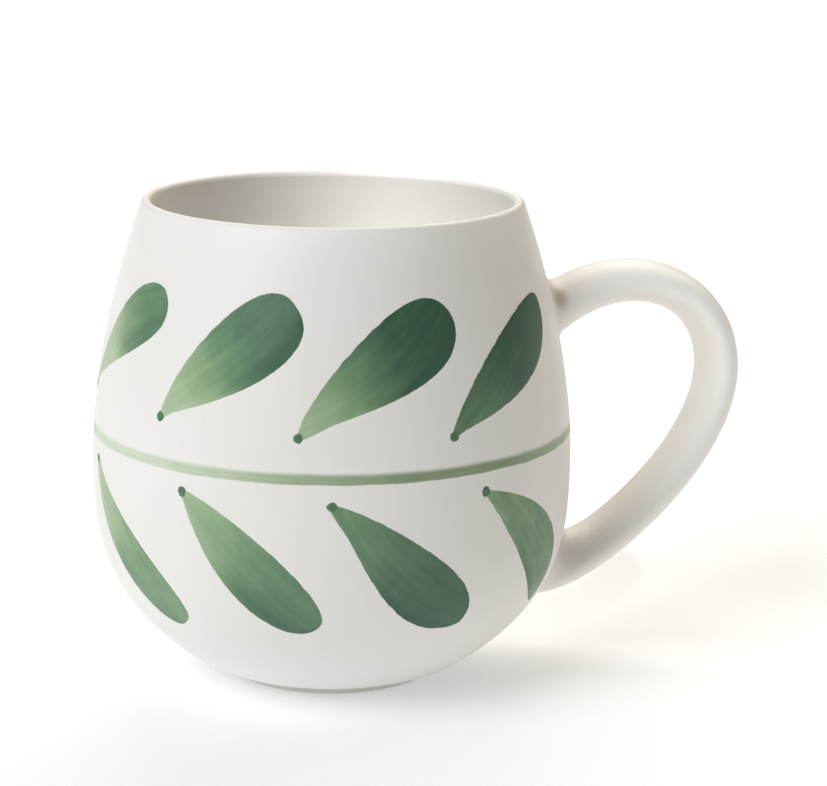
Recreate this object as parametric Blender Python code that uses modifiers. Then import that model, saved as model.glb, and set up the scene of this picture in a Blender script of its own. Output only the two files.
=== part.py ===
"""A stoneware mug with a looped handle, as the potter puts it together: a turned body with a foot
ring, a separate handle, the two slip joints that fix it to the wall, and the glaze that lines the
inside. Metres, +Z up. The mug stands on z = 0, and the middle of its footprint, handle included,
is at the origin, with the handle towards +X."""

import math

import bmesh
import bpy

# Driving dimensions of the body
BELLY_RADIUS = 0.048
BELLY_HEIGHT = 0.0455
RIM_HEIGHT = 0.0958
LIP_MIDDLE_RADIUS = 0.0368
LIP_ROUNDING = 0.00105
LIP_LEAN = math.radians(18.0)
SHOULDER_POWER = 1.68
WALL_AT_BELLY = 0.0044
FLOOR_HEIGHT = 0.0062
FLOOR_DISH = 0.0004
FLOOR_RADIUS = 0.025

# Lower wall and foot ring
LOWER_WALL_HEIGHT = 0.004
LOWER_WALL_RADIUS = 0.0289
LOWER_WALL_POWER = 3.2
UNDERSIDE_BEND = (0.0262, 0.0022)
FOOT_RADIUS = 0.0219
FOOT_HEIGHT = 0.0017
FOOT_ROUNDING = 0.0005
FOOT_FACE_INNER_RADIUS = 0.0182
RECESS_RADIUS = 0.0172
RECESS_HEIGHT = 0.0020

# Handle: the strap's middle line, as control points (distance from the body's axis, height)
HANDLE_REACH = 0.0854
HANDLE_LINE = (
    (0.0200, 0.0380),
    (0.0365, 0.0665),
    (0.0560, 0.0790),
    (0.0755, 0.0755),
    (0.0845, 0.0590),
    (0.0760, 0.0380),
    (0.0545, 0.0185),
    (0.0355, 0.0130),
    (0.0065, 0.0375),
)
HANDLE_HALF_THICKNESS = 0.0039
UPPER_ROOT_SWELL = 0.0006
LOWER_ROOT_SWELL = 0.0014
STRAP_WIDTH_RATIO = 1.8

# Slip joints and glaze
GAP = 0.0003
SLIP_LAYER = 0.0006
SLIP_EDGE = 0.0005
FILLET_HEIGHT = 0.0032
FILLET_WIDTH = 0.0022
LINER_THICKNESS = 0.0005
LINER_TOP_BELOW_RIM = 0.0036

# Mesh density
TURN_STEPS = 48
OUTER_WALL_STEPS = 18
INNER_WALL_STEPS = 13
LIP_STEPS = 5
HANDLE_STEPS_PER_SPAN = 7
HANDLE_RING_RESOLUTION = 8
JOINT_STEPS = 26

# How far a slip joint's strap runs each way from the wall, as shares of the handle's line
JOINT_INWARDS = 0.03
JOINT_OUTWARDS = 0.08

BODY_AXIS_X = (BELLY_RADIUS - HANDLE_REACH) / 2


def new_collection(name):
    collection = bpy.data.collections.new(name)
    bpy.context.scene.collection.children.link(collection)
    return collection


def glazed_material(name, colour, roughness):
    material = bpy.data.materials.new(name)
    material.use_nodes = True
    shader = material.node_tree.nodes["Principled BSDF"]
    shader.inputs["Base Color"].default_value = (*colour, 1.0)
    shader.inputs["Roughness"].default_value = roughness
    shader.inputs["Metallic"].default_value = 0.0
    return material


# Outlines of the turned pieces, as (radius, height)


def outer_radius(height):
    """The barrel's outer wall: one power curve above the belly and another below it."""
    if height > BELLY_HEIGHT:
        rim_radius, rim_height = lip_point(LIP_LEAN)
        part = (height - BELLY_HEIGHT) / (rim_height - BELLY_HEIGHT)
        return BELLY_RADIUS - (BELLY_RADIUS - rim_radius) * part**SHOULDER_POWER
    part = (BELLY_HEIGHT - height) / (BELLY_HEIGHT - LOWER_WALL_HEIGHT)
    return BELLY_RADIUS - (BELLY_RADIUS - LOWER_WALL_RADIUS) * part**LOWER_WALL_POWER


def inner_radius(height):
    """The inner wall, which follows the same two laws between the floor, the belly and the lip."""
    belly = BELLY_RADIUS - WALL_AT_BELLY
    if height > BELLY_HEIGHT:
        rim_radius, rim_height = lip_point(LIP_LEAN + math.pi)
        part = (height - BELLY_HEIGHT) / (rim_height - BELLY_HEIGHT)
        return belly - (belly - rim_radius) * part**SHOULDER_POWER
    part = (BELLY_HEIGHT - height) / (BELLY_HEIGHT - FLOOR_HEIGHT)
    return belly - (belly - FLOOR_RADIUS) * part**LOWER_WALL_POWER


def lip_point(angle):
    """A point on the rounded lip, with the angle counted up from straight outwards."""
    return (
        LIP_MIDDLE_RADIUS + LIP_ROUNDING * math.cos(angle),
        RIM_HEIGHT - LIP_ROUNDING + LIP_ROUNDING * math.sin(angle),
    )


def spaced(start, end, steps):
    """Heights from start to end, both included, closer together near both ends."""
    return [
        start + (end - start) * (1 - math.cos(math.pi * i / steps)) / 2
        for i in range(steps + 1)
    ]


def floor_line():
    """The inner floor from the axis to where the wall rises, dished a little in the middle."""
    return [
        (FLOOR_RADIUS * i / 3, FLOOR_HEIGHT - FLOOR_DISH * (1 - (i / 3) ** 2))
        for i in range(4)
    ]


def inner_line(top):
    """The inner face from the axis out along the floor and up the wall to a height."""
    wall = [(inner_radius(z), z) for z in spaced(FLOOR_HEIGHT, top, INNER_WALL_STEPS)]
    return floor_line()[:-1] + wall


def underside_line():
    """The curve under the belly, from the lower wall in to the top of the foot ring."""
    start = (LOWER_WALL_RADIUS, LOWER_WALL_HEIGHT)
    end = (FOOT_RADIUS, FOOT_HEIGHT)
    points = []
    for i in range(1, 5):
        t = i / 4
        weights = ((1 - t) ** 2, 2 * t * (1 - t), t**2)
        points.append(
            tuple(
                weights[0] * a + weights[1] * b + weights[2] * c
                for a, b, c in zip(start, UNDERSIDE_BEND, end)
            )
        )
    return points


def foot_line():
    """The foot ring's outer wall, its flat standing face, and the recess inside it."""
    rounding = [
        (
            FOOT_RADIUS - FOOT_ROUNDING * (1 - math.cos(angle)),
            FOOT_ROUNDING * (1 - math.sin(angle)),
        )
        for angle in (0.0, math.pi / 6, math.pi / 3, math.pi / 2)
    ]
    recess = [
        (FOOT_FACE_INNER_RADIUS, 0.0),
        (RECESS_RADIUS, RECESS_HEIGHT),
        (0.0, RECESS_HEIGHT),
    ]
    return rounding + recess


def liner_pocket_line():
    """The body's inner face: set back behind the liner glaze, then out to the lip itself."""
    pocket_top = RIM_HEIGHT - LINER_TOP_BELOW_RIM
    set_back = offset_line(inner_line(pocket_top), LINER_THICKNESS + GAP)
    step = [(inner_radius(pocket_top + GAP), pocket_top + GAP)]
    heights = spaced(pocket_top + GAP, lip_point(LIP_LEAN + math.pi)[1], 3)
    return set_back + step + [(inner_radius(z), z) for z in heights[1:-1]]


def body_line():
    lip = [
        lip_point(LIP_LEAN + math.pi * (1 - i / LIP_STEPS)) for i in range(LIP_STEPS + 1)
    ]
    heights = spaced(lip[-1][1], LOWER_WALL_HEIGHT, OUTER_WALL_STEPS)
    wall = [(outer_radius(z), z) for z in heights[1:]]
    return liner_pocket_line() + lip + wall + underside_line() + foot_line()


def offset_line(line, distance):
    """The line moved to the right of its direction of travel. A point on the axis stays on it."""
    moved = []
    for i, (radius, height) in enumerate(line):
        before = line[max(i - 1, 0)]
        after = line[min(i + 1, len(line) - 1)]
        along = (after[0] - before[0], after[1] - before[1])
        length = math.hypot(*along)
        sideways = distance * along[1] / length if radius > 0 else 0.0
        moved.append((radius + sideways, height - distance * along[0] / length))
    return moved


def turned(name, line, collection):
    """A solid of revolution round the body's axis, from an outline that starts and ends on it."""
    mesh = bpy.data.meshes.new(name)
    points = [(radius, 0.0, height) for radius, height in line]
    edges = [(i, i + 1) for i in range(len(points) - 1)]
    mesh.from_pydata(points, edges, [])
    piece = bpy.data.objects.new(name, mesh)
    piece.location.x = BODY_AXIS_X
    collection.objects.link(piece)
    screw = piece.modifiers.new("turn", "SCREW")
    screw.axis = "Z"
    screw.steps = TURN_STEPS
    screw.render_steps = TURN_STEPS
    screw.use_merge_vertices = True
    screw.merge_threshold = 0.00001
    screw.use_smooth_shade = True
    return piece


# The handle's path and the pieces that follow it


def handle_point(place):
    """A point on the strap's middle line, a uniform cubic B-spline, with place from 0 to 1."""
    spans = len(HANDLE_LINE) - 3
    first = min(int(place * spans), spans - 1)
    t = place * spans - first
    weights = (
        (1 - t) ** 3 / 6,
        (3 * t**3 - 6 * t**2 + 4) / 6,
        (-3 * t**3 + 3 * t**2 + 3 * t + 1) / 6,
        t**3 / 6,
    )
    near = HANDLE_LINE[first : first + 4]
    return tuple(sum(w * point[i] for w, point in zip(weights, near)) for i in (0, 1))


def half_thickness(place):
    """The strap swells towards both roots, more at the lower one."""
    upper = UPPER_ROOT_SWELL * (1 - place) ** 2
    lower = LOWER_ROOT_SWELL * place**8
    return HANDLE_HALF_THICKNESS + upper + lower


def swept_strap(name, places, thicknesses, collection):
    """An oval bar along part of the handle's line, as one closed mesh. A round tube is made of a
    curve and widened along Y, which turns its section into the strap's oval."""
    curve = bpy.data.curves.new(name + "_path", "CURVE")
    curve.dimensions = "3D"
    curve.bevel_depth = 1.0
    curve.bevel_resolution = HANDLE_RING_RESOLUTION
    curve.use_fill_caps = True
    spline = curve.splines.new("POLY")
    spline.points.add(len(places) - 1)
    for point, place, thickness in zip(spline.points, places, thicknesses):
        reach, height = handle_point(place)
        point.co = (reach, 0.0, height, 1.0)
        point.radius = thickness
    guide = bpy.data.objects.new(name + "_path", curve)
    guide.location.x = BODY_AXIS_X
    guide.scale.y = STRAP_WIDTH_RATIO
    bpy.context.scene.collection.objects.link(guide)
    bpy.context.view_layer.update()
    graph = bpy.context.evaluated_depsgraph_get()
    mesh = bpy.data.meshes.new_from_object(guide.evaluated_get(graph))
    mesh.transform(guide.matrix_world)
    mesh.name = name
    bpy.data.objects.remove(guide)
    shape = bmesh.new()
    shape.from_mesh(mesh)
    bmesh.ops.remove_doubles(shape, verts=shape.verts, dist=0.00001)
    bmesh.ops.recalc_face_normals(shape, faces=shape.faces)
    shape.to_mesh(mesh)
    shape.free()
    piece = bpy.data.objects.new(name, mesh)
    collection.objects.link(piece)
    return piece


def cut(piece, cutter, name, operation="DIFFERENCE"):
    boolean = piece.modifiers.new(name, "BOOLEAN")
    boolean.operation = operation
    boolean.solver = "EXACT"
    boolean.object = cutter


def hide_helper(piece):
    piece.hide_render = True
    piece.display_type = "WIRE"


def wall_cutter(name, clearance, collection):
    """The body as a solid without its hollow or its foot, grown by a clearance."""
    heights = spaced(lip_point(LIP_LEAN)[1], LOWER_WALL_HEIGHT, OUTER_WALL_STEPS)
    grown = offset_line([(outer_radius(z), z) for z in heights], -clearance)
    line = [(0.0, grown[0][1]), *grown, (0.0, grown[-1][1])]
    cutter = turned(name, line, collection)
    hide_helper(cutter)
    return cutter


def wall_crossing(start, end):
    """The place along the handle's line, between two places, where it meets the outer wall."""
    for _ in range(40):
        middle = (start + end) / 2
        reach, height = handle_point(middle)
        if reach > outer_radius(height):
            end = middle
        else:
            start = middle
    return (start + end) / 2


def fillet(distance):
    """How far a slip joint stands out of the strap at a distance from the wall: a hollow arc."""
    part = min(max(distance / FILLET_HEIGHT, 0.0), 1.0)
    return SLIP_EDGE + FILLET_WIDTH * (1 - math.sqrt(1 - (1 - part) ** 2))


def wall_distance(point):
    """The distance of a point from the body's outer wall, square to the wall."""
    reach = math.hypot(point.x - BODY_AXIS_X, point.y)
    step = 0.0005
    slope = (outer_radius(point.z + step) - outer_radius(point.z - step)) / (2 * step)
    return (reach - outer_radius(point.z)) / math.hypot(1.0, slope)


def handle_places():
    steps = HANDLE_STEPS_PER_SPAN * (len(HANDLE_LINE) - 3)
    return [i / steps for i in range(steps + 1)]


def add_handle(collection, cutters):
    places = handle_places()
    handle = swept_strap("handle", places, [half_thickness(p) for p in places], collection)
    seat = wall_cutter("handle_seat", 2 * GAP + SLIP_LAYER, cutters)
    cut(handle, seat, "seat on the slip")
    return handle


def add_handle_clearance(cutters):
    """The handle grown by the gap, which hollows out each slip joint."""
    places = handle_places()
    thicknesses = [half_thickness(p) + GAP for p in places]
    grown = swept_strap("handle_clearance", places, thicknesses, cutters)
    cut(grown, wall_cutter("slip_layer", GAP + SLIP_LAYER, cutters), "leave the slip layer")
    hide_helper(grown)
    return grown


def add_joint(name, root, outwards, limits, collection):
    """One slip joint: a length of strap from inside the wall to past the fillet, swollen
    towards the wall, then cut clear of its neighbours and trimmed along the fillet's edge."""
    length = JOINT_INWARDS + JOINT_OUTWARDS
    places = [
        root + outwards * (length * i / JOINT_STEPS - JOINT_INWARDS)
        for i in range(JOINT_STEPS + 1)
    ]
    joint = swept_strap(name, places, [half_thickness(p) for p in places], collection)
    shape = bmesh.new()
    shape.from_mesh(joint.data)
    shape.normal_update()
    for corner in shape.verts:
        corner.co += corner.normal * fillet(wall_distance(corner.co))
    shape.to_mesh(joint.data)
    shape.free()
    cut(joint, limits["fillet_edge"], "end at the fillet's edge", "INTERSECT")
    cut(joint, limits["body"], "clear of the body")
    cut(joint, limits["handle"], "clear of the handle")
    return joint


def liner_line():
    """The liner glaze: up the inner face, over its top edge, and down behind."""
    top = RIM_HEIGHT - LINER_TOP_BELOW_RIM
    face = inner_line(top)
    return face + offset_line(face, LINER_THICKNESS)[::-1]


def finish_mesh(piece, material):
    piece.data.materials.append(material)
    piece.data.shade_smooth()
    if hasattr(piece.data, "set_sharp_from_angle"):
        piece.data.set_sharp_from_angle(angle=math.radians(40))


def main():
    for leftover in list(bpy.data.objects):
        bpy.data.objects.remove(leftover)
    parts = new_collection("stoneware_mug")
    cutters = new_collection("cutters")

    body = turned("body", body_line(), parts)
    liner = turned("liner_glaze", liner_line(), parts)
    handle = add_handle(parts, cutters)
    limits = {
        "handle": add_handle_clearance(cutters),
        "body": wall_cutter("body_clearance", GAP, cutters),
        "fillet_edge": wall_cutter("fillet_edge", FILLET_HEIGHT, cutters),
    }
    upper = add_joint("upper_slip_joint", wall_crossing(0.0, 0.3), 1, limits, parts)
    lower = add_joint("lower_slip_joint", wall_crossing(1.0, 0.7), -1, limits, parts)

    clay = glazed_material("satin_white_glaze", (0.83, 0.82, 0.79), 0.45)
    slip = glazed_material("glazed_slip", (0.80, 0.79, 0.75), 0.5)
    lining = glazed_material("liner_glaze", (0.82, 0.80, 0.75), 0.35)
    for piece, material in (
        (body, clay),
        (handle, clay),
        (upper, slip),
        (lower, slip),
        (liner, lining),
    ):
        finish_mesh(piece, material)


main()
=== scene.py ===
"""The looks of the stoneware mug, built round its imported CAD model: fine meshes for the body, the
handle, the slip joints and the liner glaze, the brush-painted sprig, their procedural materials,
and a plain studio. Metres, +Z up, in the CAD model's own frame."""

import copy
import math

import bmesh
import bpy
import numpy as np
from mathutils import Matrix, Vector, noise


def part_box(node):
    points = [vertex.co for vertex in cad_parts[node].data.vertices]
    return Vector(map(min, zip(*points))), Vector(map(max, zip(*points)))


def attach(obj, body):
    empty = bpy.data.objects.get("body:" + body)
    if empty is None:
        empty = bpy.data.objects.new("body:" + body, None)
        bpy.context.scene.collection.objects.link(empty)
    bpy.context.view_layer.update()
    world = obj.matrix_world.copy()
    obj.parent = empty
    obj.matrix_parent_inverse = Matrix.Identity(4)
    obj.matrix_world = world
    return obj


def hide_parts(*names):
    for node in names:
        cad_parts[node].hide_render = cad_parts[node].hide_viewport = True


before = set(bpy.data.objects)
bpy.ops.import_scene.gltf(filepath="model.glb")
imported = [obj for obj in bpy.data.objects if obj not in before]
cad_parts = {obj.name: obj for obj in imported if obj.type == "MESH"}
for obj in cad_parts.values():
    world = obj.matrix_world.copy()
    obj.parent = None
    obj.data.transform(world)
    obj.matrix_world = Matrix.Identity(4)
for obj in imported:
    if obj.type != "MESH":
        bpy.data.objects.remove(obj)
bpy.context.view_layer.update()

# Sizes read from the CAD model
BODY_LOW, BODY_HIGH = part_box("body")
AXIS_X = (BODY_LOW.x + BODY_HIGH.x) / 2
BELLY_RADIUS = (BODY_HIGH.y - BODY_LOW.y) / 2
RIM_HEIGHT = BODY_HIGH.z
FLOOR_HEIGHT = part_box("liner_glaze")[0].z + 0.0009

# The turned body's outline, as in the CAD model
BELLY_HEIGHT = 0.0455
LIP_MIDDLE_RADIUS = 0.0368
LIP_ROUNDING = 0.00105
LIP_LEAN = math.radians(18.0)
SHOULDER_POWER = 1.68
WALL_AT_BELLY = 0.0044
FLOOR_DISH = 0.0004
FLOOR_RADIUS = 0.025
LOWER_WALL_HEIGHT = 0.004
LOWER_WALL_RADIUS = 0.0289
LOWER_WALL_POWER = 3.2
UNDERSIDE_BEND = (0.0262, 0.0022)
FOOT_RADIUS = 0.0219
FOOT_HEIGHT = 0.0017
FOOT_ROUNDING = 0.0005
FOOT_FACE_INNER_RADIUS = 0.0182
RECESS_RADIUS = 0.0172
RECESS_HEIGHT = 0.0020

# The handle's middle line, as in the CAD model: (distance from the body's axis, height)
HANDLE_LINE = (
    (0.0200, 0.0380),
    (0.0365, 0.0665),
    (0.0560, 0.0790),
    (0.0755, 0.0755),
    (0.0845, 0.0590),
    (0.0760, 0.0380),
    (0.0545, 0.0185),
    (0.0355, 0.0130),
    (0.0065, 0.0375),
)
HANDLE_HALF_THICKNESS = 0.0039
UPPER_ROOT_SWELL = 0.0006
LOWER_ROOT_SWELL = 0.0014
STRAP_WIDTH_RATIO = 1.8

# Slip joints: each hollow fillet's radius, the least and the most it reaches from the corner, how
# far its curve is drawn into the corner, and how deep its back and the strap's ends are tucked in
UPPER_FILLET_RADIUS = 0.0042
LOWER_FILLET_RADIUS = 0.0062
FILLET_REACH = (0.0018, 0.0125)
FILLET_FULLNESS = 0.68
FILLET_TUCK = 0.0003
CORNER_TUCK = 0.0004
ROOT_SEAT = 0.0006

# Mesh density
TURN_STEPS = 256
STRAP_RING_STEPS = 72
STRAP_LENGTH_STEPS = 220
FILLET_STEPS = 16
LEAF_LENGTH_STEPS = 90
LEAF_WIDTH_STEPS = 22
DOT_RING_STEPS = 30
DOT_STEPS = 7
STEM_LENGTH_STEPS = 600
STEM_WIDTH_STEPS = 14
SHARP_CORNER = math.radians(55.0)

# The painted sprig. Azimuths are counted from the handle, the leaves' in degrees. A leaf's own
# measures are in millimetres; its rise is measured up the wall from the stem line
STEM_HEIGHT = 0.0512
STEM_DROP = 0.0001
STEM_WIDTH = 0.0025
STEM_LOADED_AZIMUTH = math.radians(-72.0)
PAINT_LIFT = 0.00003
PAINT_DEPTH = 0.00006
DOT_RADIUS = 0.00098
EDGE_DIP = 0.4
LEAF_PITCH = 38.6
LEAF_END = 0.9995
FAR_LEAF_SHARE = 0.94
ROOT_HALF_WIDTH = 0.78


# Outlines


def lip_point(angle):
    """A point on the rounded lip, with the angle counted up from straight outwards."""
    return (
        LIP_MIDDLE_RADIUS + LIP_ROUNDING * math.cos(angle),
        RIM_HEIGHT - LIP_ROUNDING + LIP_ROUNDING * math.sin(angle),
    )


def outer_radius(height):
    """The barrel's outer wall: one power curve above the belly and another below it."""
    if height > BELLY_HEIGHT:
        rim_radius, rim_height = lip_point(LIP_LEAN)
        part = (height - BELLY_HEIGHT) / (rim_height - BELLY_HEIGHT)
        return BELLY_RADIUS - (BELLY_RADIUS - rim_radius) * part**SHOULDER_POWER
    part = (BELLY_HEIGHT - height) / (BELLY_HEIGHT - LOWER_WALL_HEIGHT)
    return BELLY_RADIUS - (BELLY_RADIUS - LOWER_WALL_RADIUS) * part**LOWER_WALL_POWER


def inner_radius(height):
    """The inner wall, which follows the same two laws between the floor, the belly and the lip."""
    belly = BELLY_RADIUS - WALL_AT_BELLY
    if height > BELLY_HEIGHT:
        rim_radius, rim_height = lip_point(LIP_LEAN + math.pi)
        part = (height - BELLY_HEIGHT) / (rim_height - BELLY_HEIGHT)
        return belly - (belly - rim_radius) * part**SHOULDER_POWER
    part = (BELLY_HEIGHT - height) / (BELLY_HEIGHT - FLOOR_HEIGHT)
    return belly - (belly - FLOOR_RADIUS) * part**LOWER_WALL_POWER


def spaced(start, end, steps):
    """Heights from start to end, both included, closer together near both ends."""
    return [
        start + (end - start) * (1 - math.cos(math.pi * i / steps)) / 2
        for i in range(steps + 1)
    ]


def bezier(start, bend, end, t):
    """A point on the curve from start to end that leaves and arrives towards the bend."""
    return start * (1 - t) ** 2 + bend * (2 * t * (1 - t)) + end * t**2


def cubic(start, first, second, end, t):
    """A point on the curve from start to end that leaves towards first and arrives from second."""
    rest = 1 - t
    return start * rest**3 + first * (3 * rest**2 * t) + second * (3 * rest * t**2) + end * t**3


def floor_line(steps=24):
    """The inner floor from the axis to where the wall rises, dished a little in the middle."""
    shares = [i / steps for i in range(steps + 1)]
    return [(FLOOR_RADIUS * s, FLOOR_HEIGHT - FLOOR_DISH * (1 - s**2)) for s in shares]


def inner_line(top, set_back=None, steps=110):
    """The inner face from the axis, out along the floor and up the wall to a height. set_back
    gives how far the face is moved into the clay, from the height."""
    wall = [(inner_radius(z), z) for z in spaced(FLOOR_HEIGHT, top, steps)]
    line = floor_line()[:-1] + wall
    if set_back is None:
        return line
    return moved_line(line, [set_back(z) for _, z in line])


def moved_line(line, distances):
    """The line moved to the right of its direction of travel. A point on the axis stays on it."""
    moved = []
    for i, ((radius, height), distance) in enumerate(zip(line, distances)):
        before = line[max(i - 1, 0)]
        after = line[min(i + 1, len(line) - 1)]
        along = (after[0] - before[0], after[1] - before[1])
        length = math.hypot(*along)
        sideways = distance * along[1] / length if radius > 0 else 0.0
        moved.append((radius + sideways, height - distance * along[0] / length))
    return moved


def body_line():
    """The whole vessel: inner face, lip, outer wall, underside, foot ring and recess."""
    inner_top = lip_point(LIP_LEAN + math.pi)[1]
    inside = inner_line(inner_top, liner_set_back)[:-1]
    lip_steps = 28
    lip = [lip_point(LIP_LEAN + math.pi * (1 - i / lip_steps)) for i in range(lip_steps + 1)]
    heights = spaced(lip[-1][1], LOWER_WALL_HEIGHT, 150)
    wall = [(outer_radius(z), z) for z in heights[1:]]
    start = Vector((LOWER_WALL_RADIUS, LOWER_WALL_HEIGHT))
    end = Vector((FOOT_RADIUS, FOOT_HEIGHT))
    bend = Vector(UNDERSIDE_BEND)
    underside = [tuple(bezier(start, bend, end, i / 14)) for i in range(1, 15)]
    return inside + lip + wall + underside + foot_line()


def foot_line():
    """The foot ring with its softened edges, and the shallow recess inside it."""
    crease = [(FOOT_RADIUS - 0.00012, FOOT_HEIGHT - 0.0001)]
    side = [(FOOT_RADIUS, FOOT_HEIGHT - 0.0004), (FOOT_RADIUS, FOOT_ROUNDING + 0.0002)]
    quarter = [math.pi / 2 * i / 8 for i in range(9)]
    outer = [
        (
            FOOT_RADIUS - FOOT_ROUNDING * (1 - math.cos(a)),
            FOOT_ROUNDING * (1 - math.sin(a)),
        )
        for a in quarter
    ]
    face = [(FOOT_FACE_INNER_RADIUS + 0.0004, 0.0), (FOOT_FACE_INNER_RADIUS, 0.00008)]
    recess_wall = [
        (RECESS_RADIUS + 0.0003, RECESS_HEIGHT - 0.0006),
        (RECESS_RADIUS, RECESS_HEIGHT - 0.0002),
        (RECESS_RADIUS - 0.0005, RECESS_HEIGHT),
    ]
    recess = [(RECESS_RADIUS * (1 - i / 12), RECESS_HEIGHT) for i in range(1, 13)]
    return crease + side + outer + face + recess_wall + recess


def smooth_step(low, high, value):
    part = min(max((value - low) / (high - low), 0.0), 1.0)
    return part * part * (3 - 2 * part)


# The liner glaze is laid over the clay and thins out to nothing a little below the lip
LINER_TOP = RIM_HEIGHT - 0.0036
LINER_FADE = 0.006
LINER_DEPTH = 0.00035
LINER_BLEND = 0.020


def liner_set_back(height):
    """How far the clay stands behind the finished inner face, from the height."""
    return LINER_DEPTH * (1 - smooth_step(LINER_TOP - LINER_FADE, LINER_TOP, height))


def liner_back(height):
    """The liner's own depth, which keeps a hair clear of the clay behind it."""
    return liner_set_back(height) * 0.8 + 0.000004


# Places on the outer wall


def wall_slope(height):
    step = 0.0002
    return (outer_radius(height + step) - outer_radius(height - step)) / (2 * step)


def unevenness(azimuth, height):
    """The slight waver that a cast and sponged wall has, in metres."""
    place = Vector((math.cos(azimuth), math.sin(azimuth), height / BELLY_RADIUS))
    return 0.00006 * noise.noise(place * 1.7)


def wall_point(azimuth, height, lift=0.0):
    """A point on the outer wall, or above it by the lift, with the azimuth from the handle."""
    slope = wall_slope(height)
    length = math.hypot(1.0, slope)
    reach = outer_radius(height) + unevenness(azimuth, height) + lift / length
    return Vector(
        (
            AXIS_X + reach * math.cos(azimuth),
            reach * math.sin(azimuth),
            height - lift * slope / length,
        )
    )


def wall_distance(point):
    """The distance of a point from the outer wall, square to the wall."""
    azimuth = math.atan2(point.y, point.x - AXIS_X)
    reach = math.hypot(point.x - AXIS_X, point.y) - unevenness(azimuth, point.z)
    return (reach - outer_radius(point.z)) / math.hypot(1.0, wall_slope(point.z))


def wall_heights():
    """Heights up the outer wall, with the length along the wall from the stem line to each."""
    top = lip_point(LIP_LEAN)[1]
    heights = np.linspace(LOWER_WALL_HEIGHT, top, 2000)
    radii = np.array([outer_radius(z) for z in heights])
    steps = np.hypot(np.diff(radii), np.diff(heights))
    lengths = np.concatenate([[0.0], np.cumsum(steps)])
    return heights, lengths - np.interp(STEM_HEIGHT, heights, lengths)


WALL_HEIGHTS, WALL_RISES = wall_heights()


def painted_point(across, rise, lift):
    """A point of the painting: metres round the belly from the handle, and metres up the wall."""
    height = float(np.interp(rise, WALL_RISES, WALL_HEIGHTS))
    return wall_point(across / BELLY_RADIUS, height, lift)


# Mesh making


def lofted(name, rings, caps=True, loop=False):
    """A mesh through closed rings of points. With loop, the last ring joins the first. Caps
    close the two open ends."""
    count = len(rings[0])
    verts = [tuple(point) for ring in rings for point in ring]
    faces = []
    for i in range(len(rings) if loop else len(rings) - 1):
        following = (i + 1) % len(rings)
        for j in range(count):
            k = (j + 1) % count
            faces.append(
                (i * count + j, i * count + k, following * count + k, following * count + j)
            )
    if caps and not loop:
        faces.append(tuple(range(count))[::-1])
        faces.append(tuple((len(rings) - 1) * count + j for j in range(count)))
    return placed(name, verts, faces)


def placed(name, verts, faces):
    """A smooth mesh as an object in the scene, with true corners kept sharp."""
    mesh = bpy.data.meshes.new(name)
    mesh.from_pydata(verts, [], faces)
    mesh.validate()
    mesh.shade_smooth()
    mesh.set_sharp_from_angle(angle=SHARP_CORNER)
    piece = bpy.data.objects.new(name, mesh)
    bpy.context.scene.collection.objects.link(piece)
    return piece


def turned(name, line):
    """A solid of revolution from an outline that starts and ends on the body's axis."""
    verts = []
    faces = []
    starts = []
    for radius, height in line:
        starts.append(len(verts))
        if radius <= 0:
            verts.append((AXIS_X, 0.0, height))
            continue
        for j in range(TURN_STEPS):
            azimuth = 2 * math.pi * j / TURN_STEPS
            wave = unevenness(azimuth, height) if height > FOOT_HEIGHT else 0.0
            reach = radius + wave * min(radius / BELLY_RADIUS, 1.0)
            verts.append(
                (AXIS_X + reach * math.cos(azimuth), reach * math.sin(azimuth), height)
            )
    for i in range(len(line) - 1):
        first, second = starts[i], starts[i + 1]
        for j in range(TURN_STEPS):
            k = (j + 1) % TURN_STEPS
            if line[i][0] <= 0:
                faces.append((first, second + j, second + k))
            elif line[i + 1][0] <= 0:
                faces.append((first + k, first + j, second))
            else:
                faces.append((first + k, first + j, second + j, second + k))
    return placed(name, verts, faces)


def face_outwards(piece):
    """Turns the faces of a closed mesh so that they all point out."""
    shape = bmesh.new()
    shape.from_mesh(piece.data)
    bmesh.ops.recalc_face_normals(shape, faces=shape.faces)
    shape.to_mesh(piece.data)
    shape.free()


def finish_piece(piece, material, node=None):
    face_outwards(piece)
    piece.data.materials.append(material)
    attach(piece, "root")
    if node:
        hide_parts(node)
    return piece


# Handle and slip joints


def handle_centre(place):
    """A point on the strap's middle line, a uniform cubic B-spline, with place from 0 to 1."""
    spans = len(HANDLE_LINE) - 3
    first = min(int(place * spans), spans - 1)
    t = place * spans - first
    weights = (
        (1 - t) ** 3 / 6,
        (3 * t**3 - 6 * t**2 + 4) / 6,
        (-3 * t**3 + 3 * t**2 + 3 * t + 1) / 6,
        t**3 / 6,
    )
    near = HANDLE_LINE[first : first + 4]
    reach, height = (sum(w * p[i] for w, p in zip(weights, near)) for i in (0, 1))
    return Vector((AXIS_X + reach, 0.0, height))


def half_thickness(place):
    """The strap swells towards both roots, more at the lower one."""
    upper = UPPER_ROOT_SWELL * (1 - place) ** 2
    lower = LOWER_ROOT_SWELL * place**8
    return HANDLE_HALF_THICKNESS + upper + lower


def strap_point(place, turn):
    """A point on the strap's skin: an oval round the middle line, with turn in radians from the
    strap's outer face."""
    step = 0.0005
    ahead = handle_centre(min(place + step, 1.0))
    behind = handle_centre(max(place - step, 0.0))
    along = (ahead - behind).normalized()
    outwards = Vector((-along.z, 0.0, along.x))
    thickness = half_thickness(place)
    out = thickness * math.cos(turn)
    side = thickness * STRAP_WIDTH_RATIO * math.sin(turn)
    return handle_centre(place) + outwards * out + Vector((0.0, side, 0.0))


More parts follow.
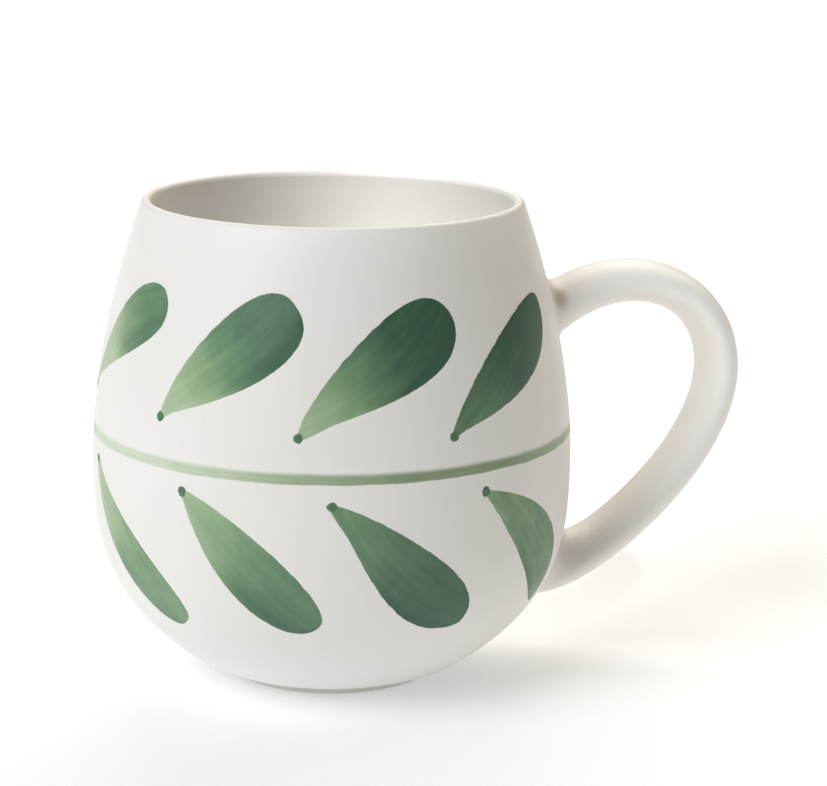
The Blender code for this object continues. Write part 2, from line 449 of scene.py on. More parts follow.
def strap_crossing(turn, inside, outside, distance):
    """The place, between two places on the strap, where its skin is this far from the wall."""
    for _ in range(34):
        middle = (inside + outside) / 2
        if wall_distance(strap_point(middle, turn)) > distance:
            outside = middle
        else:
            inside = middle
    return (inside + outside) / 2


TURNS = [2 * math.pi * j / STRAP_RING_STEPS for j in range(STRAP_RING_STEPS)]
UPPER_ROOT = (0.0, 0.3)
LOWER_ROOT = (1.0, 0.7)


def make_handle():
    """The strap between the two joints, each end cut to the curve of the wall inside its joint."""
    starts = [strap_crossing(turn, *UPPER_ROOT, ROOT_SEAT) for turn in TURNS]
    ends = [strap_crossing(turn, *LOWER_ROOT, ROOT_SEAT) for turn in TURNS]
    rings = []
    for i in range(STRAP_LENGTH_STEPS + 1):
        share = i / STRAP_LENGTH_STEPS
        rings.append(
            [
                strap_point(start + (end - start) * share, turn)
                for start, end, turn in zip(starts, ends, TURNS)
            ]
        )
    return lofted("handle_strap", rings)


def make_joint(name, root, radius):
    """A hollow fillet all round one root, which meets the strap and the wall smoothly."""
    return lofted(name, [fillet_ring(root, radius, turn) for turn in TURNS], loop=True)


def fillet_ring(root, radius, turn):
    """The fillet's outline at one turn of the strap: its hollow face, from the strap to the wall,
    and then its back, which is tucked into the clay."""
    place = strap_crossing(turn, *root, 0.0)
    corner = strap_point(place, turn)
    azimuth = math.atan2(corner.y, corner.x - AXIS_X)
    skin = strap_skin_normal(place, turn)
    wall_normal = wall_point(azimuth, corner.z, 0.001) - wall_point(azimuth, corner.z)
    wall_normal.normalize()
    turned_by = skin.angle(wall_normal)
    reach = radius * math.tan(turned_by / 2)
    reach = min(max(reach, FILLET_REACH[0]), FILLET_REACH[1])
    start = strap_crossing(turn, *root, reach * math.sin(turned_by))
    on_strap = strap_point(start, turn)
    spread = (skin - wall_normal * skin.dot(wall_normal)).normalized()
    target = corner + spread * reach
    on_wall = wall_point(math.atan2(target.y, target.x - AXIS_X), target.z)
    rootwards = math.copysign(0.002, root[0] - root[1])
    down_strap = (strap_point(start + rootwards, turn) - on_strap).normalized()
    back = [
        on_wall - wall_normal * FILLET_TUCK,
        corner - wall_normal * CORNER_TUCK - skin * CORNER_TUCK,
        on_strap - skin * FILLET_TUCK,
    ]
    return fillet_face(on_strap, down_strap, corner, on_wall) + back


def fillet_face(on_strap, down_strap, corner, on_wall):
    """The hollow face: it leaves the strap along its skin and reaches the wall along the wall."""
    back_up_wall = (corner - on_wall).normalized()
    bends = (
        on_strap + down_strap * (corner - on_strap).length * FILLET_FULLNESS,
        on_wall + back_up_wall * (corner - on_wall).length * FILLET_FULLNESS,
    )
    shares = [i / FILLET_STEPS for i in range(FILLET_STEPS + 1)]
    return [cubic(on_strap, *bends, on_wall, share) for share in shares]


def strap_skin_normal(place, turn):
    """The direction square to the strap's skin."""
    step = 0.002
    along = strap_point(place + step, turn) - strap_point(place - step, turn)
    around = strap_point(place, turn + 0.01) - strap_point(place, turn - 0.01)
    normal = along.cross(around).normalized()
    if normal.dot(strap_point(place, turn) - handle_centre(place)) < 0:
        normal = -normal
    return normal


# Painted sprig


class Leaf:
    """One press of a loaded round brush: from a point at the root to a broad, rounded tip.
    azimuth is the root's, in degrees; rise, length, bow and the widths are in millimetres. Each
    side has (greatest half width, how late it widens, how pointed its tip is). load is how much
    pigment lies at the root and at the tip, from 0 to 1."""

    def __init__(self, azimuth, rise, length, lean, bow, left, right, load):
        self.root = Vector((math.radians(azimuth) * BELLY_RADIUS * 1000, rise))
        self.length = length
        self.lean = math.radians(lean)
        self.bow = bow
        self.left = left
        self.right = right
        self.load = load

    def moved(self, turns):
        """The same leaf, painted again a number of leaf pitches further back."""
        back = math.radians(LEAF_PITCH) * turns
        again = copy.copy(self)
        again.root = self.root - Vector((back, 0.0)) * BELLY_RADIUS * 1000
        return again

    def middle(self, t):
        along = Vector((math.cos(self.lean), math.sin(self.lean)))
        return (
            self.root
            + along * (self.length * t)
            + self.sideways() * (4 * self.bow * t * (1 - t))
        )

    def sideways(self):
        return Vector((-math.sin(self.lean), math.cos(self.lean)))

    def half_width(self, side, t):
        """The brush lands with a blunt end as wide as a bead, and then each side swells."""
        widest, late, point = side
        peak = late / (late + point)
        top = peak**late * (1 - peak) ** point
        swell = widest * max(t, 0.0) ** late * (1 - t) ** point / top
        reach = t * self.length / ROOT_HALF_WIDTH
        blunt = ROOT_HALF_WIDTH * math.sqrt(max(1 - min(reach, 0.0) ** 2, 0.0))
        blunt *= 1 - smooth_step(0.0, 0.25, t)
        return math.hypot(blunt, swell)


UPPER_LEAVES = (
    # The first leaf's low load paints it paler: thinner pigment, and in part painted sheen
    Leaf(-184.1, 8.7, 36.5, 37.3, 4.6, (3.6, 2.00, 0.39), (8.8, 1.00, 0.50), (-0.40, 0.56)),
    Leaf(-145.4, 8.4, 36.7, 38.8, -0.6, (8.0, 0.74, 0.42), (6.7, 1.12, 0.35), (0.00, 0.77)),
    Leaf(-109.7, 7.4, 38.8, 35.1, -2.7, (10.5, 0.76, 0.50), (5.2, 2.20, 0.44), (0.14, 0.98)),
    Leaf(-73.5, 6.4, 38.9, 34.7, 2.3, (4.1, 0.58, 0.36), (8.7, 1.06, 0.59), (0.66, 1.04)),
)
LOWER_LEAVES = (
    Leaf(-174.2, -4.9, 39.1, -44.5, 1.1, (3.5, 1.45, 0.35), (8.0, 0.60, 0.39), (0.12, 0.48)),
    Leaf(-137.8, -4.9, 37.1, -42.6, 0.3, (5.1, 0.64, 0.42), (7.5, 0.86, 0.46), (0.18, 0.66)),
    Leaf(-102.1, -5.3, 38.4, -43.6, -3.8, (10.0, 0.78, 0.53), (3.9, 2.20, 0.73), (0.52, 0.92)),
    Leaf(-65.2, -4.9, 37.0, -50.0, 1.6, (8.6, 0.85, 0.42), (3.6, 0.80, 0.45), (0.42, 0.62)),
)


def whole_row(leaves):
    """The leaves of a row all the way round, up to the handle: the far side repeats the near
    side's leaves in turn."""
    far = [leaf.moved(len(leaves)) for leaf in leaves]
    for leaf in far:
        leaf.length *= FAR_LEAF_SHARE
    return list(leaves) + far


def ragged_sides(leaf, t, seed):
    """The left and the right half width at one point of the stroke, with a hand's small wavers."""
    sides = []
    for sign, side in ((1, leaf.left), (-1, leaf.right)):
        ragged = 0.14 * noise.noise(Vector((t * leaf.length * 0.5, sign * 3.0, seed)))
        ragged += 0.06 * noise.noise(Vector((t * leaf.length * 1.7, sign * 7.0, seed)))
        width = leaf.half_width(side, t)
        sides.append(width + ragged * smooth_step(0.0, 2.0, width))
    return sides


def leaf_ring(leaf, t, seed):
    """The stroke's outline across one point: over the face, which is domed at its edges, and back
    under the glaze. It gives the points and their marks."""
    middle = leaf.middle(t)
    sides = ragged_sides(leaf, t, seed)
    load = leaf.load[0] + (leaf.load[1] - leaf.load[0]) * smooth_step(0.0, 0.8, t)
    face = [math.sin(math.pi * (j / LEAF_WIDTH_STEPS - 0.5)) for j in range(LEAF_WIDTH_STEPS + 1)]
    ring = []
    marks = []
    for share in face:
        offset = share * (sides[0] if share > 0 else sides[1])
        margin = min(sides[0] - offset, sides[1] + offset)
        place = middle + leaf.sideways() * offset
        ring.append(painted_point(place.x / 1000, place.y / 1000, edge_lift(margin, 0.5)))
        marks.append((t, share, margin, offset, seed, load))
    for share in face[-2:0:-1]:
        offset = share * (sides[0] if share > 0 else sides[1])
        place = middle + leaf.sideways() * offset
        ring.append(painted_point(place.x / 1000, place.y / 1000, -PAINT_DEPTH))
        marks.append((t, share, 0.5, offset, seed, load))
    return ring, marks


def edge_lift(margin, dome):
    """How far the paint stands off the wall, from the distance to its edge in millimetres. The
    edge itself dips just under the wall."""
    return -EDGE_DIP * PAINT_LIFT + (1 + EDGE_DIP) * PAINT_LIFT * smooth_step(0.0, dome, margin)


def make_leaf(name, leaf, seed):
    start = -0.98 * ROOT_HALF_WIDTH / leaf.length
    rings = []
    marks = []
    for i in range(LEAF_LENGTH_STEPS + 1):
        t = start + (LEAF_END - start) * (1 - math.cos(math.pi * i / LEAF_LENGTH_STEPS)) / 2
        ring, ring_marks = leaf_ring(leaf, t, seed)
        rings.append(ring)
        marks += ring_marks
    piece = lofted(name, rings)
    add_marks(piece, marks, leaf.length)
    return piece


def add_marks(piece, marks, length):
    """Keeps on each point where it is in its brush stroke, for the pigment's colour."""
    for column, name in ((0, "along"), (1, "across"), (2, "margin"), (5, "load")):
        attribute = piece.data.attributes.new(name, "FLOAT", "POINT")
        attribute.data.foreach_set("value", [mark[column] for mark in marks])
    places = [(mark[0] * length, mark[3], mark[4] * 10.0) for mark in marks]
    stroke = piece.data.attributes.new("stroke", "FLOAT_VECTOR", "POINT")
    stroke.data.foreach_set("vector", [value for place in places for value in place])


def dot_ring(root, radii, lift):
    """Points round a leaf's root, one at each radius."""
    ring = []
    for j, radius in enumerate(radii):
        angle = 2 * math.pi * j / DOT_RING_STEPS
        across = root.x / 1000 + radius * math.cos(angle)
        rise = root.y / 1000 + radius * math.sin(angle)
        ring.append(painted_point(across, rise, lift))
    return ring


def make_dot(name, root, seed):
    """The dark bead of pigment where a leaf's stroke starts."""
    turns = [2 * math.pi * j / DOT_RING_STEPS for j in range(DOT_RING_STEPS)]
    edges = [Vector((math.cos(angle), math.sin(angle), seed)) for angle in turns]
    outline = [DOT_RADIUS * (1 + 0.22 * noise.noise(edge * 1.1)) for edge in edges]
    rings = []
    marks = []
    for i in range(DOT_STEPS + 1):
        share = 0.04 + 0.96 * i / DOT_STEPS
        lift = PAINT_LIFT * (0.6 + 2.2 * math.sqrt(max(1 - share**2, 0.0)))
        if i == DOT_STEPS:
            lift = -EDGE_DIP * PAINT_LIFT
        radii = [radius * share for radius in outline]
        rings.append(dot_ring(root, radii, lift))
        margin = (1 - share) * DOT_RADIUS * 1000
        marks += [(1.0, 0.0, margin, radius * 1000, seed, 1.0) for radius in radii]
    rings.append(dot_ring(root, [DOT_RADIUS * 0.5] * DOT_RING_STEPS, -PAINT_DEPTH))
    marks += [(1.0, 0.0, 0.5, 0.0, seed, 1.0)] * DOT_RING_STEPS
    piece = lofted(name, rings)
    add_marks(piece, marks, 1.0)
    return piece


def stem_ring(place):
    """The line's outline at one place, from 0 to 1 round the body, and its points' marks."""
    azimuth = 2 * math.pi * place
    load = 0.5 + 0.5 * math.cos(2 * (azimuth - STEM_LOADED_AZIMUTH))
    spot = Vector((math.cos(azimuth), math.sin(azimuth), 0.0)) * 9.0
    fine = Vector((math.cos(azimuth), math.sin(azimuth), 3.0)) * 40.0
    half = STEM_WIDTH / 2 * (1 + 0.10 * noise.noise(spot) + 0.05 * noise.noise(fine))
    drift = -STEM_DROP + 0.00012 * noise.noise(spot * 0.4 + Vector((0, 0, 9.0)))
    face = [math.sin(math.pi * (j / STEM_WIDTH_STEPS - 0.5)) for j in range(STEM_WIDTH_STEPS + 1)]
    ring = []
    marks = []
    for share in face:
        margin = half * (1 - abs(share)) * 1000
        lift = edge_lift(margin, 0.35)
        ring.append(painted_point(azimuth * BELLY_RADIUS, drift + half * share, lift))
        marks.append((place, share, margin, half * share * 1000, 0.0, load))
    for share in face[-2:0:-1]:
        ring.append(painted_point(azimuth * BELLY_RADIUS, drift + half * share, -PAINT_DEPTH))
        marks.append((place, share, 0.5, half * share * 1000, 0.0, load))
    return ring, marks


def make_stem():
    """The level line round the body, with the small wavers of a hand on a banding wheel."""
    rings = []
    marks = []
    for i in range(STEM_LENGTH_STEPS):
        ring, ring_marks = stem_ring(i / STEM_LENGTH_STEPS)
        rings.append(ring)
        marks += ring_marks
    piece = lofted("stem_line", rings, loop=True)
    add_marks(piece, marks, 2 * math.pi * BELLY_RADIUS * 1000)
    return piece


# Materials


class Nodes:
    """A short way to write a material's node tree."""

    def __init__(self, name):
        self.material = bpy.data.materials.new(name)
        self.material.use_nodes = True
        self.tree = self.material.node_tree
        self.shader = self.tree.nodes["Principled BSDF"]
        self.place = self.tree.nodes.new("ShaderNodeTexCoord").outputs["Object"]

    def link(self, value, socket):
        if isinstance(value, bpy.types.NodeSocket):
            self.tree.links.new(value, socket)
        else:
            socket.default_value = value

    def height(self):
        node = self.tree.nodes.new("ShaderNodeSeparateXYZ")
        self.link(self.place, node.inputs[0])
        return node.outputs["Z"]

    def distance(self, point):
        """How far each place on the surface is from a point."""
        node = self.tree.nodes.new("ShaderNodeVectorMath")
        node.operation = "DISTANCE"
        self.link(self.place, node.inputs[0])
        node.inputs[1].default_value = point
        return node.outputs["Value"]

    def attribute(self, name, output="Fac"):
        node = self.tree.nodes.new("ShaderNodeAttribute")
        node.attribute_name = name
        return node.outputs[output]

    def noise(self, scale, detail=2.0, roughness=0.5, place=None):
        node = self.tree.nodes.new("ShaderNodeTexNoise")
        self.link(place or self.place, node.inputs["Vector"])
        node.inputs["Scale"].default_value = scale
        node.inputs["Detail"].default_value = detail
        node.inputs["Roughness"].default_value = roughness
        return node.outputs["Fac"]

    def stretched(self, place, scale):
        node = self.tree.nodes.new("ShaderNodeMapping")
        self.link(place, node.inputs["Vector"])
        node.inputs["Scale"].default_value = scale
        return node.outputs["Vector"]

    def specks(self, scale, size, share):
        """1 on round specks of a size, on a share of the cells, and 0 elsewhere."""
        node = self.tree.nodes.new("ShaderNodeTexVoronoi")
        self.link(self.place, node.inputs["Vector"])
        node.inputs["Scale"].default_value = scale
        near = self.ranged(node.outputs["Distance"], size, size * 0.4, 0.0, 1.0)
        parts = self.tree.nodes.new("ShaderNodeSeparateColor")
        self.link(node.outputs["Color"], parts.inputs["Color"])
        chosen = self.ranged(parts.outputs[0], 1 - share, 1 - share + 0.001, 0.0, 1.0)
        return self.math("MULTIPLY", near, chosen)

    def math(self, operation, first, second=0.0):
        node = self.tree.nodes.new("ShaderNodeMath")
        node.operation = operation
        self.link(first, node.inputs[0])
        self.link(second, node.inputs[1])
        return node.outputs[0]

    def swayed(self, value, pattern, amount):
        """The value moved up and down by a pattern that runs from 0 to 1."""
        sway = self.math("MULTIPLY", self.math("SUBTRACT", pattern, 0.5), amount)
        return self.math("ADD", value, sway)

    def ranged(self, value, low, high, to_low, to_high):
        """Maps low..high to to_low..to_high, smoothly and clamped."""
        node = self.tree.nodes.new("ShaderNodeMapRange")
        node.interpolation_type = "SMOOTHSTEP"
        self.link(value, node.inputs["Value"])
        node.inputs["From Min"].default_value = min(low, high)
        node.inputs["From Max"].default_value = max(low, high)
        node.inputs["To Min"].default_value = to_low if low < high else to_high
        node.inputs["To Max"].default_value = to_high if low < high else to_low
        return node.outputs["Result"]

    def mix(self, share, first, second):
        node = self.tree.nodes.new("ShaderNodeMix")
        node.data_type = "RGBA"
        self.link(share, node.inputs[0])
        self.link(first, node.inputs[6])
        self.link(second, node.inputs[7])
        return node.outputs[2]

    def ramp(self, value, stops):
        node = self.tree.nodes.new("ShaderNodeValToRGB")
        self.link(value, node.inputs["Fac"])
        elements = node.color_ramp.elements
        while len(elements) < len(stops):
            elements.new(0.5)
        for element, (place, colour) in zip(elements, stops):
            element.position = place
            element.color = colour
        return node.outputs["Color"]

    def bump(self, height, distance, strength, below=None):
        node = self.tree.nodes.new("ShaderNodeBump")
        node.inputs["Strength"].default_value = strength
        node.inputs["Distance"].default_value = distance
        self.link(height, node.inputs["Height"])
        if below is not None:
            self.link(below, node.inputs["Normal"])
        return node.outputs["Normal"]

    def finish(self, colour, roughness, normal):
        self.link(colour, self.shader.inputs["Base Color"])
        self.link(roughness, self.shader.inputs["Roughness"])
        self.link(normal, self.shader.inputs["Normal"])
        return self.material


def grey(value):
    return (value, value, value, 1.0)


# Colours of the glazes, the clay and the painted shade in the pressed crease at the upper root
GLAZE_LIGHT = (0.880, 0.860, 0.822, 1.0)
GLAZE_WARM = (0.868, 0.844, 0.798, 1.0)
LINER_LIGHT = (0.955, 0.943, 0.915, 1.0)
LINER_WARM = (0.948, 0.932, 0.900, 1.0)
SPECK = (0.50, 0.42, 0.32, 1.0)
BARE_CLAY = (0.66, 0.58, 0.47, 1.0)
# Painted shade in the crease at the upper root: its colour, how far it reaches, where it sits and
# how strong it is
CREASE_SHADE_COLOUR = (0.46, 0.37, 0.29, 1.0)
CREASE_SHADE_REACH = 0.0038
CREASE_TURN = math.radians(46.0)
CREASE_OFF_WALL = 0.0008
CREASE_SHADE_STRENGTH = 0.92


def glaze_colour(nodes, light, warm):
    """Off-white glaze that is warmer where it lies thicker, with a few faint iron specks."""
    pooled = nodes.ranged(nodes.noise(38.0, 3.0), 0.35, 0.68, 0.0, 1.0)
    milky = nodes.ranged(nodes.noise(900.0, 2.0), 0.35, 0.7, 0.0, 0.22)
    colour = nodes.mix(pooled, light, warm)
    colour = nodes.mix(milky, colour, light)
    specks = nodes.math("MULTIPLY", nodes.specks(260.0, 0.055, 0.05), 0.30)
    return nodes.mix(specks, colour, SPECK)


def satin_skin(nodes, smooth, rough):
    """(roughness, normal) of a satin glaze: a fine, soft skin with a slow orange-peel swell."""
    worn = nodes.ranged(nodes.noise(70.0, 4.0), 0.3, 0.7, smooth, rough)
    swell = nodes.bump(nodes.noise(140.0, 2.0), 0.0001, 0.18)
    skin = nodes.bump(nodes.noise(2600.0, 2.0), 0.00001, 0.35, swell)
    return worn, skin


def glaze_material():
    nodes = Nodes("satin_white_glaze")
    colour = glaze_colour(nodes, GLAZE_LIGHT, GLAZE_WARM)
    roughness, normal = satin_skin(nodes, 0.38, 0.50)
    edge = nodes.math("MULTIPLY", nodes.noise(1500.0, 2.0), 0.0002)
    level = nodes.math("ADD", nodes.height(), edge)
    bare = nodes.ranged(level, 0.00038, 0.00022, 0.0, 1.0)
    grain = nodes.ranged(nodes.noise(2200.0, 4.0, 0.7), 0.3, 0.7, 0.75, 1.1)
    clay = nodes.mix(bare, colour, BARE_CLAY)
    worn = nodes.mix(nodes.math("MULTIPLY", bare, 0.5), clay, grain)
    dry = nodes.mix(bare, roughness, grey(0.9))
    return nodes.finish(worn, dry, normal)


def slip_material():
    """The glaze over the slip, with painted shade, dark and warm, in the pressed crease on each
    side of the upper root."""
    nodes = Nodes("glazed_slip")
    colour = glaze_colour(nodes, GLAZE_LIGHT, GLAZE_WARM)
    for side in (-CREASE_TURN, CREASE_TURN):
        crease = strap_point(strap_crossing(side, *UPPER_ROOT, CREASE_OFF_WALL), side)
        away = nodes.distance(crease)
        # Painted shade: darker and warmer towards the corner between the strap and the wall, where
        # shade falls
        painted_shade = nodes.ranged(away, CREASE_SHADE_REACH, CREASE_SHADE_REACH * 0.2, 0.0, CREASE_SHADE_STRENGTH)
        colour = nodes.mix(painted_shade, colour, CREASE_SHADE_COLOUR)
    roughness, normal = satin_skin(nodes, 0.40, 0.52)
    return nodes.finish(colour, roughness, normal)


def liner_material():
    nodes = Nodes("liner_glaze")
    deep = glaze_colour(nodes, LINER_LIGHT, LINER_WARM)
    near_lip = nodes.ranged(nodes.height(), LINER_TOP - LINER_BLEND, LINER_TOP, 0.0, 1.0)
    colour = nodes.mix(near_lip, deep, GLAZE_LIGHT)
    roughness, normal = satin_skin(nodes, 0.32, 0.42)
    return nodes.finish(colour, roughness, normal)


def leaf_material():
    """Brushed pigment: thin and yellow-green where the stroke starts, dark and bluer where the
    brush was pressed, with streaks along the stroke and a pooled band down one side."""
    nodes = Nodes("leaf_pigment")
    along = nodes.attribute("along")
    across = nodes.attribute("across")
    stroke = nodes.attribute("stroke", "Vector")
    streaks = nodes.noise(1.0, 3.0, 0.6, nodes.stretched(stroke, (0.05, 0.7, 1.0)))
    hairs = nodes.noise(1.0, 2.0, 0.6, nodes.stretched(stroke, (0.12, 3.5, 1.0)))
    clouds = nodes.noise(1.0, 2.0, 0.5, nodes.stretched(stroke, (0.18, 0.25, 1.0)))
    strength = nodes.attribute("load")
    for pattern, amount in ((streaks, 0.30), (hairs, 0.07), (clouds, 0.26)):
        strength = nodes.swayed(strength, pattern, amount)
    near_edge = nodes.ranged(across, -0.25, -0.75, 0.0, 1.0)
    thin_edge = nodes.math("MULTIPLY", near_edge, nodes.ranged(along, 0.5, 0.25, 0.0, 0.10))
    pooled_edge = nodes.math("MULTIPLY", near_edge, nodes.ranged(along, 0.4, 0.6, 0.0, 0.15))
    strength = nodes.math("SUBTRACT", strength, thin_edge)
    strength = nodes.math("ADD", strength, pooled_edge)
    colour = nodes.ramp(
        strength,
        (
            (0.0, (0.440, 0.560, 0.365, 1.0)),
            (0.20, (0.330, 0.465, 0.268, 1.0)),
            (0.40, (0.215, 0.350, 0.185, 1.0)),
            (0.55, (0.146, 0.272, 0.144, 1.0)),
            (0.70, (0.098, 0.205, 0.114, 1.0)),
            (0.85, (0.064, 0.152, 0.086, 1.0)),
            (1.0, (0.040, 0.110, 0.066, 1.0)),
        ),
    )
    faded = nodes.ranged(nodes.attribute("margin"), 0.25, 0.0, 0.0, 0.75)
    colour = nodes.mix(faded, colour, (0.540, 0.626, 0.464, 1.0))
    roughness, normal = satin_skin(nodes, 0.36, 0.48)
    return nodes.finish(colour, roughness, normal)


def dot_material():
    nodes = Nodes("dot_pigment")
    stroke = nodes.attribute("stroke", "Vector")
    clouds = nodes.noise(2.0, 2.0, 0.5, stroke)
    colour = nodes.ramp(
        clouds, ((0.3, (0.050, 0.130, 0.060, 1.0)), (0.7, (0.105, 0.215, 0.115, 1.0)))
    )
    roughness, normal = satin_skin(nodes, 0.36, 0.48)
    return nodes.finish(colour, roughness, normal)


def stem_material():
    nodes = Nodes("stem_pigment")
    across = nodes.attribute("across")
    stroke = nodes.attribute("stroke", "Vector")
    streaks = nodes.noise(1.0, 3.0, 0.6, nodes.stretched(stroke, (0.06, 2.5, 1.0)))
    pools = nodes.noise(1.0, 2.0, 0.5, nodes.stretched(stroke, (0.15, 0.6, 1.0)))
    strength = nodes.attribute("load")
    for pattern, amount in ((streaks, 0.45), (pools, 0.40)):
        strength = nodes.swayed(strength, pattern, amount)
    colour = nodes.ramp(
        strength,
        (
            (0.0, (0.637, 0.718, 0.562, 1.0)),
            (0.5, (0.421, 0.518, 0.335, 1.0)),
            (1.0, (0.232, 0.313, 0.173, 1.0)),
        ),
    )
    colour = nodes.mix(nodes.ranged(across, 0.25, 1.0, 0.0, 0.9), colour, GLAZE_LIGHT)
    colour = nodes.mix(nodes.ranged(across, -0.78, -1.0, 0.0, 0.7), colour, GLAZE_LIGHT)
    roughness, normal = satin_skin(nodes, 0.36, 0.48)
    return nodes.finish(colour, roughness, normal)


# Studio: softboxes round a white table, which glows faintly under the mug and brightly far from
# it. Each softbox: (name, azimuth, elevation, distance, size, power, colour)
WORLD_STRENGTH = 0.07
WORLD_COLOUR = (1.0, 0.92, 0.82, 1.0)
TABLE_RADIUS = 12.0
TABLE_PAPER = ((0.905, 0.92, 0.94, 1.0), (0.92, 0.932, 0.95, 1.0))
TABLE_GLOW = (0.26, 1.0)
GLOW_REACH = (0.45, 1.5)
SOFTBOXES = (
    ("key", -150.0, 40.0, 1.5, 1.0, 13.6, (0.92, 0.955, 0.99)),
    ("left", 168.0, 40.0, 1.5, 1.0, 1.4, (0.85, 0.90, 1.0)),
    ("back_left", 123.0, 40.0, 1.5, 1.0, 1.0, (1.0, 0.90, 0.80)),
    ("back", 78.0, 40.0, 1.5, 1.0, 9.5, (1.0, 0.94, 0.83)),
    ("back_right", 33.0, 40.0, 1.5, 1.0, 6.2, (1.0, 0.88, 0.70)),
    ("overhead", 0.0, 90.0, 0.65, 0.3, 0.50, (1.0, 0.98, 0.95)),
)

# Narrow soft beams, one over the lip to the far inner wall and one on the strap. Each snoot:
# (name, azimuth, elevation, spread in degrees, radius, power, colour, target)
SNOOT_DISTANCE = 0.9
FAR_INNER_WALL = (AXIS_X + 0.0190, 0.0310, RIM_HEIGHT - 0.006)
STRAP_SHOULDER = (AXIS_X + 0.078, 0.0, 0.070)
SNOOTS = (
    ("over_lip", -114.0, 36.0, 4.0, 0.025, 22.0, (1.0, 1.0, 1.0), FAR_INNER_WALL),
    ("on_strap", -88.0, 46.0, 4.3, 0.025, 10.0, (0.90, 0.95, 1.0), STRAP_SHOULDER),
)


def make_floor():
    """A plain pale disc, finer near the mug, with its glow set by the distance from the mug."""
    around = 96
    turns = [2 * math.pi * j / around for j in range(around)]
    radii = (0.0, 0.01, 0.1, 0.3, 0.8, 2.0, 5.0, TABLE_RADIUS)
    rings = [[(r * math.cos(a), r * math.sin(a), 0.0) for a in turns] for r in radii]
    table = lofted("table", rings, caps=False)
    nodes = Nodes("table_paper")
    mottle = nodes.ranged(nodes.noise(20.0, 3.0), 0.3, 0.7, 0.0, 1.0)
    colour = nodes.mix(mottle, *TABLE_PAPER)
    normal = nodes.bump(nodes.noise(800.0, 3.0), 0.0001, 0.1)
    roughness = nodes.ranged(nodes.noise(60.0, 2.0), 0.3, 0.7, 0.85, 0.95)
    glow = nodes.ranged(nodes.distance((0.0, 0.0, 0.0)), *GLOW_REACH, *TABLE_GLOW)
    nodes.link(glow, nodes.shader.inputs["Emission Strength"])
    nodes.shader.inputs["Emission Color"].default_value = grey(1.0)
    table.data.materials.append(nodes.finish(colour, roughness, normal))


def aimed(data, target, azimuth, elevation, distance):
    """A light at a distance from its target, with its azimuth and elevation in degrees."""
    turn = math.radians(azimuth)
    rise = math.radians(elevation)
    towards = Vector(
        (math.cos(turn) * math.cos(rise), math.sin(turn) * math.cos(rise), math.sin(rise))
    )
    light = bpy.data.objects.new(data.name, data)
    light.location = target + towards * distance
    light.rotation_euler = towards.to_track_quat("Z", "Y").to_euler()
    bpy.context.scene.collection.objects.link(light)
    return light


def add_softbox(name, azimuth, elevation, distance, size, power, colour):
    """A square area light aimed at the middle of the mug."""
    data = bpy.data.lights.new(name, "AREA")
    data.shape = "SQUARE"
    data.size = size
    data.energy = power
    data.color = colour
    middle = Vector((AXIS_X, 0.0, RIM_HEIGHT / 2))
    return aimed(data, middle, azimuth, elevation, distance)


def add_snoot(name, azimuth, elevation, spread, radius, power, colour, target):
    """A spot light whose beam fades from its middle to its edge."""
    data = bpy.data.lights.new(name, "SPOT")
    data.energy = power
    data.color = colour
    data.spot_size = math.radians(spread)
    data.spot_blend = 1.0
    data.shadow_soft_size = radius
    return aimed(data, Vector(target), azimuth, elevation, SNOOT_DISTANCE)


def make_world():
    world = bpy.data.worlds.new("studio")
    world.use_nodes = True
    background = world.node_tree.nodes["Background"]
    background.inputs["Color"].default_value = WORLD_COLOUR
    background.inputs["Strength"].default_value = WORLD_STRENGTH
    bpy.context.scene.world = world


# Camera: its place round the body's axis, its aim and its lens
CAMERA_AZIMUTH = math.radians(-102.0)
CAMERA_DISTANCE = 0.480
CAMERA_HEIGHT = 0.1707
CAMERA_HEADING = math.radians(13.936)
CAMERA_PITCH = math.radians(13.428)
CAMERA_ROLL = math.radians(0.626)
CAMERA_LENS = 106.85


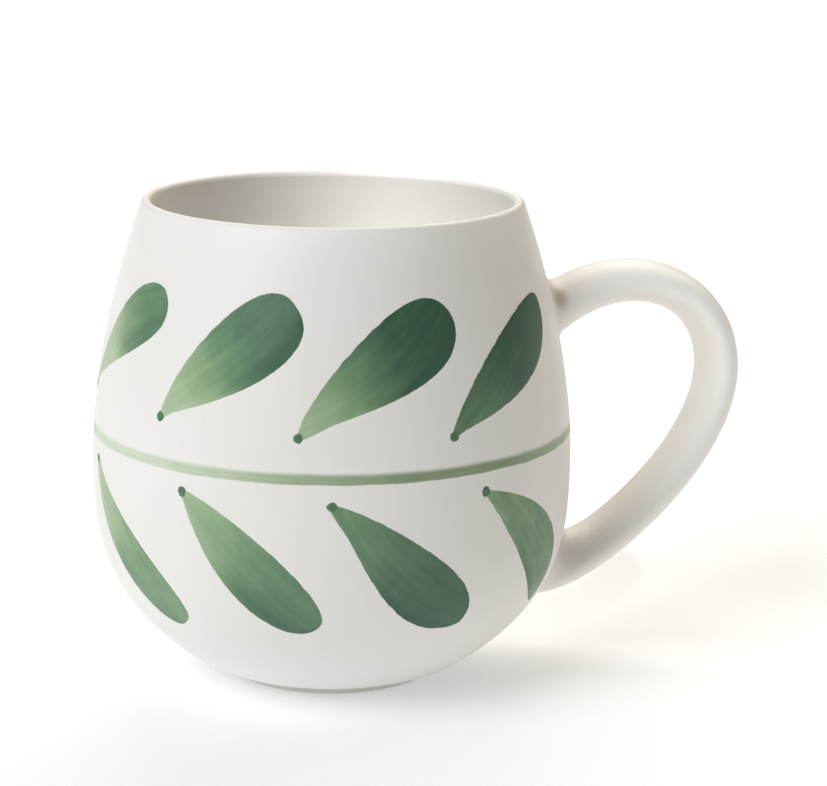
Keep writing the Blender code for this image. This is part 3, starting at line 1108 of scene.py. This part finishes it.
def make_camera():
    data = bpy.data.cameras.new("camera")
    data.lens = CAMERA_LENS
    data.sensor_width = 36.0
    data.clip_start = 0.01
    data.clip_end = 50.0
    camera = bpy.data.objects.new("camera", data)
    place = Vector(
        (
            AXIS_X + CAMERA_DISTANCE * math.cos(CAMERA_AZIMUTH),
            CAMERA_DISTANCE * math.sin(CAMERA_AZIMUTH),
            CAMERA_HEIGHT,
        )
    )
    heading = Matrix.Rotation(-CAMERA_HEADING, 4, "Z")
    pitch = Matrix.Rotation(math.pi / 2 - CAMERA_PITCH, 4, "X")
    roll = Matrix.Rotation(CAMERA_ROLL, 4, "Z")
    camera.matrix_world = Matrix.Translation(place) @ heading @ pitch @ roll
    bpy.context.scene.collection.objects.link(camera)
    bpy.context.scene.camera = camera


def make_mug():
    glaze = glaze_material()
    slip = slip_material()
    finish_piece(turned("body_shell", body_line()), glaze, "body")
    face = inner_line(LINER_TOP)
    back = inner_line(LINER_TOP, liner_back)
    liner = turned("liner", face + back[::-1])
    finish_piece(liner, liner_material(), "liner_glaze")
    finish_piece(make_handle(), glaze, "handle")
    upper = make_joint("upper_fillet", UPPER_ROOT, UPPER_FILLET_RADIUS)
    finish_piece(upper, slip, "upper_slip_joint")
    lower = make_joint("lower_fillet", LOWER_ROOT, LOWER_FILLET_RADIUS)
    finish_piece(lower, slip, "lower_slip_joint")


def make_sprig():
    finish_piece(make_stem(), stem_material())
    pigment = leaf_material()
    dots = dot_material()
    for row, leaves in (("upper", UPPER_LEAVES), ("lower", LOWER_LEAVES)):
        for number, leaf in enumerate(whole_row(leaves), 1):
            seed = number + (20.0 if row == "lower" else 0.0)
            piece = make_leaf(f"{row}_leaf_{number}", leaf, seed)
            finish_piece(piece, pigment)
            dot = make_dot(f"{row}_dot_{number}", leaf.root, seed)
            finish_piece(dot, dots)


def make_studio():
    bpy.context.scene.view_settings.view_transform = "Standard"
    make_floor()
    make_world()
    for softbox in SOFTBOXES:
        add_softbox(*softbox)
    for snoot in SNOOTS:
        add_snoot(*snoot)


make_camera()
make_mug()
make_sprig()
make_studio()
